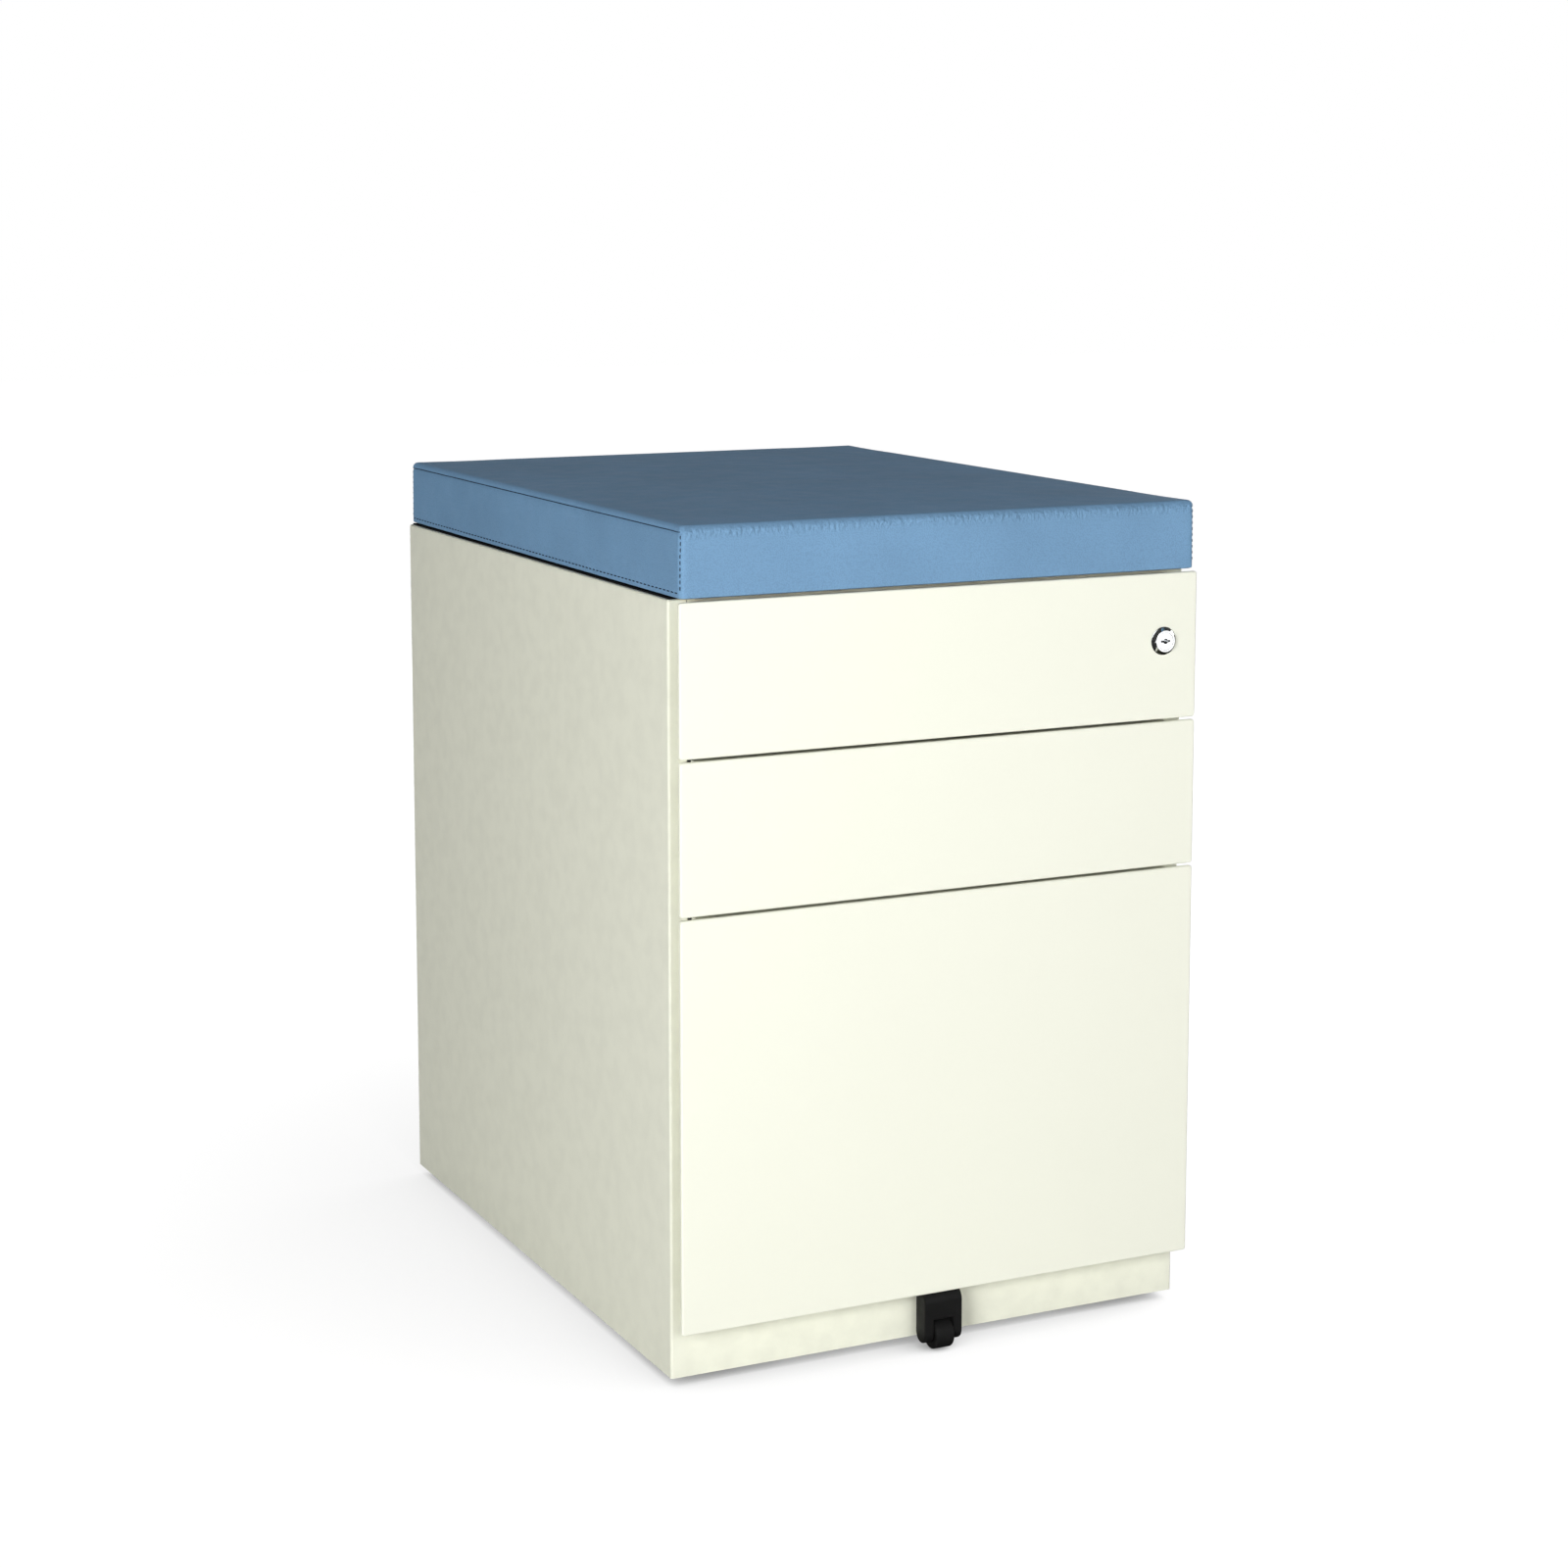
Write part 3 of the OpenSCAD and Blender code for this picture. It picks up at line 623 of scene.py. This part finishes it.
def add_front(level):
    """Front skin of a drawer: a shallow folded tray with rounded edges, open to the back. The
    upper one is left out of reflections, so that the lock's chrome mirrors the dark studio."""
    low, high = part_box(level + "_front")
    corner, fold = 2.2 * MM, 1.5 * MM
    half_w, half_h = (high.x - low.x) / 2, (high.z - low.z) / 2
    middle_z = (high.z + low.z) / 2
    rim = high.y - low.y
    rise = [(fold * (1 - math.cos(a)), fold * (1 - math.sin(a)))
            for a in (math.radians(15 * n) for n in range(7))]
    section = [(SHEET * 1.6, SHEET), (SHEET, SHEET * 1.6), (SHEET, rim), (0.2 * MM, rim),
               (0, rim - 0.2 * MM)]
    section += rise
    bm = bmesh.new()
    add_stack(bm, [[Vector((x, low.y + depth, middle_z + z)) for x, z in
                    rounded_loop(half_w - inset, half_h - inset, max(corner - inset, 0.4 * MM))]
                   for inset, depth in section])
    piece = from_bmesh(level + "_front_skin", bm, "front_paint", level + "_drawer")
    if level == "upper":
        lock_low, lock_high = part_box("lock_nut")
        centre = (lock_low + lock_high) / 2
        hole = bmesh.new()
        hole_radius = 8.7 * MM
        add_rod(hole, Vector((centre.x, FACE_Y - rim, centre.z)),
                Vector((centre.x, FACE_Y + 2 * rim, centre.z)), hole_radius)
        cut_away(piece, hole)
        piece.visible_glossy = False
    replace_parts(keep_flats(piece), level + "_front")


# Lock ---------------------------------------------------------------------------------------

def add_lock():
    """Tapered chrome bezel with a flat face, and the plug in it with its keyway level."""
    low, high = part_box("lock_plug")
    centre = Vector(((low.x + high.x) / 2, FACE_Y, (low.z + high.z) / 2))
    proud = FACE_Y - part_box("lock_housing")[0].y
    barrel_end = FACE_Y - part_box("lock_housing")[1].y
    barrel, bore, foot, face, ease = 8.5 * MM, 6.6 * MM, 0.6 * MM, 8.3 * MM, 0.35 * MM
    outer = (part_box("lock_housing")[1].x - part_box("lock_housing")[0].x) / 2
    bezel = [(bore, barrel_end), (barrel, barrel_end), (barrel, 0), (outer - 0.15 * MM, 0)]
    bezel += arc((outer - 0.3 * MM, foot - 0.3 * MM), 0.3 * MM, 0, 90, 4) + [(outer - foot, foot)]
    bezel += arc((face - ease, proud - ease), ease, 28, 90, 5)
    bezel += [(bore + 0.05 * MM, proud), (bore, proud - 0.05 * MM), (bore, barrel_end)]
    bm = bmesh.new()
    add_lathe(bm, centre, -Y, bezel)
    bmesh.ops.remove_doubles(bm, verts=bm.verts, dist=1e-6)
    piece = from_bmesh("lock_bezel", bm, "chrome", "upper_drawer")
    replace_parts(keep_flats(piece), "lock_housing")

    radius, front, back = 6.5 * MM, FACE_Y - low.y, FACE_Y - high.y
    plug = [(0, back), (radius, back), (radius, front - 0.06 * MM)]
    plug += [(radius - 0.06 * MM, front), (0, front)]
    bm = bmesh.new()
    add_lathe(bm, centre, -Y, plug)
    piece = from_bmesh("lock_cylinder", bm, "chrome", "lock_core")
    keyway = bmesh.new()
    depth = 12 * MM
    add_block(keyway, (centre.x - 4 * MM, low.y - MM, centre.z - 0.8 * MM),
              (centre.x + 4 * MM, low.y + depth, centre.z + 0.8 * MM))
    cut_away(piece, keyway)
    middle = bmesh.new()
    add_rod(middle, Vector((centre.x, low.y - MM, centre.z)),
            Vector((centre.x, low.y + depth - 0.1 * MM, centre.z)), 2 * MM)
    cut_away(piece, middle)
    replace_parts(keep_flats(piece), "lock_plug")


# Stabilising castor ---------------------------------------------------------------------------

def add_tilt_castor():
    """Hood with soft edges round the stabilising wheel, and the wheel's rounded tread."""
    low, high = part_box("tilt_castor_hood")
    wheel_low, wheel_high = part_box("tilt_castor_wheel")
    foot = (high.y - low.y) / 2
    shoulder, shoulder_z, tongue_y = 9 * MM, 37.5 * MM, low.y + 8 * MM
    head_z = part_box("lower_front")[0].z - 0.4 * MM
    lean = math.degrees(math.asin((head_z - shoulder_z) / shoulder))
    profile = arc((low.y + shoulder, shoulder_z), shoulder, 180 - lean, 180, 8)
    profile += arc((low.y + foot, low.z + foot), foot, 180, 360, 16)
    profile += [(high.y, high.z), (tongue_y, high.z), (tongue_y, head_z)]
    bm = bmesh.new()
    rows = [[bm.verts.new((x, p[0], p[1])) for p in profile] for x in (low.x, high.x)]
    for n in range(len(profile)):
        m = (n + 1) % len(profile)
        bm.faces.new((rows[0][n], rows[0][m], rows[1][m], rows[1][n]))
    bm.faces.new(rows[0][::-1])
    bm.faces.new(rows[1])
    piece = from_bmesh("tilt_castor_shell", bm, "black_plastic", "lower_drawer")
    bake_modifiers(ease_edges(piece, 1.3 * MM, 4, 50))
    slot_half = (wheel_high.x - wheel_low.x) / 2 + 0.5 * MM
    slot = bmesh.new()
    add_block(slot, (-slot_half, low.y - 5 * MM, low.z - 5 * MM),
              (slot_half, high.y + 5 * MM, wheel_high.z + 1.8 * MM))
    cut_away(piece, slot)
    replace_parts(keep_flats(ease_edges(piece, 0.5 * MM, 3, 50)), "tilt_castor_hood")

    middle = (wheel_low + wheel_high) / 2
    radius, half = (wheel_high.z - wheel_low.z) / 2, (wheel_high.x - wheel_low.x) / 2
    bore, eased, groove = 1.45 * MM, 1.7 * MM, 0.6 * MM
    side = [(bore, half), (5 * MM, half), (5 * MM + groove, half - groove),
            (7 * MM, half - groove), (7 * MM + groove, half)]
    side += arc((radius - eased, half - eased), eased, 90, 0, 8)
    tread = side + [(r, -along) for r, along in side[::-1]] + [side[0]]
    bm = bmesh.new()
    add_lathe(bm, middle, X, tread)
    bmesh.ops.remove_doubles(bm, verts=bm.verts, dist=1e-6)
    piece = from_bmesh("tilt_castor_tyre", bm, "castor_tread", "tilt_wheel")
    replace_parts(keep_flats(piece), "tilt_castor_wheel")


# Seat pad -----------------------------------------------------------------------------------

PAD_ROUND = 4.5 * MM
ARC_TURNS = [math.radians(15 * n) for n in (1, 2, 3)]
pad_low, pad_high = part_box("seat_cushion")
board_low, board_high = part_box("seat_board")
PAD_MIDDLE = (pad_low + pad_high) / 2
PAD_HALF = (pad_high - pad_low) / 2 - Vector((0.5, 0.5, 0.6)) * MM
SEAM_Z = PAD_HALF.z - 5.2 * MM
ROW_Z = -PAD_HALF.z + 4.1 * MM


def axis_lines(half, step, extra=()):
    """Grid positions across a rounded box: even on the flat, closer on the rounded edges."""
    flat = half - PAD_ROUND
    count = round(2 * flat / step)
    lines = [-flat + 2 * flat * n / count for n in range(count + 1)]
    lines = [c for c in lines if all(abs(c - e) > 0.9 * MM for e in extra)]
    turns = [flat + PAD_ROUND * math.tan(a) for a in ARC_TURNS]
    return sorted(lines + list(extra) + turns + [-t for t in turns])


def rounded_box(name, half, lines):
    """Closed grid of quads on a box with rounded edges, about the origin."""
    points, index, faces = [], {}, []
    last = [len(axis) - 1 for axis in lines]

    def vertex(key):
        if key not in index:
            index[key] = len(points)
            p = Vector([axis[n] for axis, n in zip(lines, key)])
            core = Vector([max(PAD_ROUND - h, min(h - PAD_ROUND, c)) for c, h in zip(p, half)])
            points.append(core + (p - core).normalized() * PAD_ROUND)
        return index[key]

    for fixed in range(3):
        u, v = (fixed + 1) % 3, (fixed + 2) % 3
        for end in (0, last[fixed]):
            for i in range(last[u]):
                for j in range(last[v]):
                    corners = []
                    for di, dj in ((0, 0), (1, 0), (1, 1), (0, 1)):
                        key = [0, 0, 0]
                        key[fixed], key[u], key[v] = end, i + di, j + dj
                        corners.append(vertex(tuple(key)))
                    faces.append(corners if end else corners[::-1])
    mesh = bpy.data.meshes.new(name)
    mesh.from_pydata(points, [], faces)
    return mesh


def swollen_cover(half):
    """Cloth simulation of the cover blown up by the foam in it, its underside held still.
    Returns the points of the cover at rest and how far each one moves."""
    mesh = rounded_box("cover_form", half, [axis_lines(h, 7 * MM) for h in half])
    form = bpy.data.objects.new("cover_form", mesh)
    bpy.context.scene.collection.objects.link(form)
    rest = [v.co.copy() for v in mesh.vertices]
    held = form.vertex_groups.new(name="held")
    held.add([n for n, p in enumerate(rest) if p.z < -half.z + MM], 1.0, "REPLACE")
    cloth = form.modifiers.new("cover", "CLOTH")
    cloth.settings.quality = 6
    cloth.settings.mass = 0.35
    cloth.settings.use_pressure = True
    cloth.settings.uniform_pressure_force = 4
    cloth.settings.vertex_group_mass = "held"
    cloth.settings.effector_weights.gravity = 0
    cloth.collision_settings.use_collision = False
    cloth.point_cache.frame_start = 1
    cloth.point_cache.frame_end = 20
    for number in range(1, 21):
        bpy.context.scene.frame_set(number)
    depsgraph = bpy.context.evaluated_depsgraph_get()
    swollen = [v.co.copy() for v in form.evaluated_get(depsgraph).data.vertices]
    bpy.data.objects.remove(form)
    bpy.context.scene.frame_set(1)
    return rest, [b - a for a, b in zip(rest, swollen)]


def swell_pad(points, half, crown, bulge):
    """Moves the pad's points as the simulated cover moves, scaled so that the top rises by crown
    and the sides stand out by bulge."""
    rest, moves = swollen_cover(half)
    highest = max(m.z for m in moves)
    widest = max(max(abs(m.x), abs(m.y)) for m in moves)
    tree = KDTree(len(rest))
    for n, p in enumerate(rest):
        tree.insert(p, n)
    tree.balance()
    for p in points:
        near = tree.find_n(p, 4)
        weights = [1 / (distance + 0.5 * MM) for _, _, distance in near]
        move = sum((moves[n] * w for (_, n, _), w in zip(near, weights)), Vector()) / sum(weights)
        p += Vector((move.x * bulge / widest, move.y * bulge / widest, move.z * crown / highest))


def falloff(distance, width):
    return math.exp(-(distance / width) ** 2)


def add_pad():
    """The pad's cover: one sheet over front, top and back, and a sewn-in panel at each side."""
    half = PAD_HALF
    seam_lines = [SEAM_Z + d * MM for d in (-1.8, -0.8, 0, 0.8)]
    recess = [(board_high - board_low)[n] / 2 + d * MM for n in (0, 1) for d in (0.2, 0.8)]
    recess_depth = 9.2 * MM
    lines = [axis_lines(half.x, 7 * MM, [s * r for r in recess[:2] for s in (-1, 1)]),
             axis_lines(half.y, 7 * MM, [s * r for r in recess[2:] for s in (-1, 1)]),
             axis_lines(half.z, 3 * MM, seam_lines)]
    mesh = rounded_box("seat_pad", half, lines)
    points = [v.co.copy() for v in mesh.vertices]
    normals = [v.normal.copy() for v in mesh.vertices]
    rest = [p.copy() for p in points]
    swell_pad(points, half, 2.6 * MM, 1.1 * MM)
    corner_y = half.y - PAD_ROUND + PAD_ROUND * math.sin(math.radians(30))
    puckers = []
    for p, start, normal in zip(points, rest, normals):
        on_side = abs(start.x) > half.x - PAD_ROUND
        if on_side and abs(start.y) < corner_y + MM:
            p -= normal * 0.7 * MM * falloff(start.z - SEAM_Z, 0.75 * MM)
        if on_side and start.z < SEAM_Z:
            p -= normal * 0.5 * MM * falloff(abs(start.y) - corner_y, 0.9 * MM)
        foot = start.z + half.z
        if foot < PAD_ROUND:
            p.z = -half.z + (p.z + half.z) * 0.3
        if all(abs(start[n]) < recess[2 * n] + 0.1 * MM for n in (0, 1)) and start.z < 0:
            p.z += recess_depth
        facing = abs(normal.y)
        below_top = half.z - start.z
        gathered = falloff(below_top - 5 * MM, 3.2 * MM) + 0.35 * falloff(foot - 3 * MM, 3 * MM)
        puckers.append(facing * gathered)
    for vertex, p in zip(mesh.vertices, points):
        vertex.co = p + PAD_MIDDLE
    layer = mesh.attributes.new("pucker", "FLOAT", "POINT")
    layer.data.foreach_set("value", puckers)
    pad = link_mesh("seat_pad", mesh, "seat_vinyl", "case")
    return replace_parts(pad, "seat_cushion")


def add_thread(bm, points, radii, sides=8):
    """A round thread along points, closed at both ends."""
    loops = []
    for n, (p, radius) in enumerate(zip(points, radii)):
        along = (points[min(n + 1, len(points) - 1)] - points[max(n - 1, 0)]).normalized()
        across = along.cross(Z if abs(along.z) < 0.9 else Y).normalized()
        loops.append([bm.verts.new(q) for q in ring(p, across, along.cross(across), radius, sides)])
    for a, b in zip(loops, loops[1:]):
        for n in range(sides):
            m = (n + 1) % sides
            bm.faces.new((a[n], a[m], b[m], b[n]))
    bm.faces.new(loops[0][::-1])
    bm.faces.new(loops[-1])


def add_sewing(pad):
    """Seam threads and stitches, laid on the finished cover."""
    bm = bmesh.new()
    bm.from_mesh(pad.data)
    cover = BVHTree.FromBMesh(bm)
    bm.free()

    def on_cover(x, y, z, height):
        spot, normal, _, _ = cover.find_nearest(PAD_MIDDLE + Vector((x, y, z)))
        return spot + normal * height

    turn = math.radians(30)
    corner_x = PAD_HALF.x - PAD_ROUND + PAD_ROUND * math.cos(turn)
    corner_y = PAD_HALF.y - PAD_ROUND + PAD_ROUND * math.sin(turn)
    seams, stitches = bmesh.new(), bmesh.new()

    def add_stitch(start, end, radius):
        steps = [n / 6 for n in range(7)]
        swells = [math.sin(math.pi * t) for t in steps]
        path = [on_cover(*start.lerp(end, t), (0.32 * swell - 0.12) * MM)
                for t, swell in zip(steps, swells)]
        add_thread(stitches, path, [radius * (0.6 + 0.4 * swell) for swell in swells])

    for side in (-1, 1):
        ys = [corner_y * (2 * n / 120 - 1) for n in range(121)]
        path = [on_cover(side * PAD_HALF.x, y, SEAM_Z, 0.05 * MM) for y in ys]
        add_thread(seams, path, [0.36 * MM] * len(path))
        for end in (-1, 1):
            x, y = side * corner_x, end * corner_y
            top, low, count = SEAM_Z - 0.8 * MM, ROW_Z + 1.2 * MM, 9
            pitch = (top - low) / count
            for n in range(count):
                start = Vector((x, y, top - n * pitch - 0.15 * pitch))
                add_stitch(start, start - Z * 0.66 * pitch, 0.42 * MM)
        count = 82
        pitch = 2 * (corner_y - 2 * MM) / count
        for n in range(count):
            start = Vector((side * PAD_HALF.x, -corner_y + 2 * MM + (n + 0.2) * pitch, ROW_Z))
            add_stitch(start, start + Y * 0.6 * pitch, 0.46 * MM)
    from_bmesh("seat_seam_threads", seams, "thread", "case")
    from_bmesh("seat_stitches", stitches, "thread", "case")


# CAD pieces that show as they are -------------------------------------------------------------

def dress_cad_nodes():
    """Gives each CAD node its material, and eases the edges of those that show."""
    for row in frame["record"]["subparts"]:
        node = frame["nodes"][row["node"]]
        node.data.materials.clear()
        node.data.materials.append(MATERIALS[row["material_slot"]])
        if node.hide_render:
            continue
        weld = node.modifiers.new("weld", "WELD")
        weld.merge_threshold = 1e-5
        keep_flats(ease_edges(node, 0.25 * MM, 2, 50))


add_camera()
light_scene()
for side, name in ((-1, "left_side"), (1, "right_side")):
    add_side(side, name + "_sheet", name + "_panel")
add_plinth()
add_top()
for level in ("upper", "middle", "lower"):
    add_front(level)
add_lock()
add_tilt_castor()
add_sewing(add_pad())
dress_cad_nodes()
